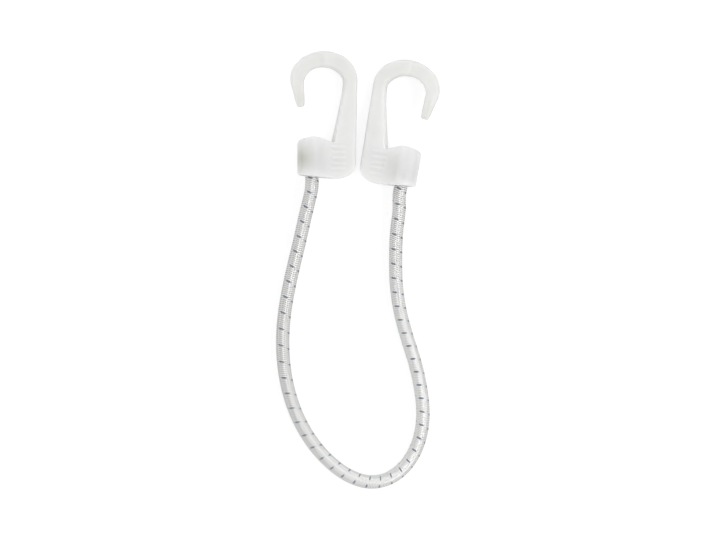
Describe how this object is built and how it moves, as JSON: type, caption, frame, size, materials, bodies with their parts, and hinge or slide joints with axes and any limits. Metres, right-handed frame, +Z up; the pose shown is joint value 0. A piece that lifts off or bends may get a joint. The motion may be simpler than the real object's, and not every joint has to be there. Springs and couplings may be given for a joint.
{
  "type": "elastic cord",
  "caption": "Braided elastic shock cord with a moulded plastic J-hook swivelling on each end, for holding a load to a rail or rack.",
  "frame": {"origin": "middle of the box round the two hooks, on the table that the cord lies on", "axes": "+X from the left hook to the right one, +Y from the loop of the cord up to the hooks, +Z up from the table"},
  "size_m": [0.0984, 0.2625, 0.0176],
  "materials": {
    "hook_plastic": "satin moulded polyolefin, white and slightly translucent",
    "clip_wire": "zinc plated wire",
    "sheath_yarn": "bright white filament yarn, braided, with one navy strand",
    "core_rubber": "bundle of natural latex threads"
  },
  "bodies": {
    "cord": {"cord_sheath": "sheath_yarn", "cord_core": "core_rubber", "clip_left": "clip_wire", "clip_right": "clip_wire"},
    "hook_left": {"hook_left": "hook_plastic"},
    "hook_right": {"hook_right": "hook_plastic"}
  },
  "joints": [
    {"name": "hook_left_swivel", "type": "hinge", "parent": "cord", "child": "hook_left", "pos_m": [-0.0319, -0.0345, 0.0088], "axis": [0, 1, 0], "continuous": true},
    {"name": "hook_right_swivel", "type": "hinge", "parent": "cord", "child": "hook_right", "pos_m": [0.0214, -0.0401, 0.0088], "axis": [0.1788, 0.9839, 0], "continuous": true}
  ]
}
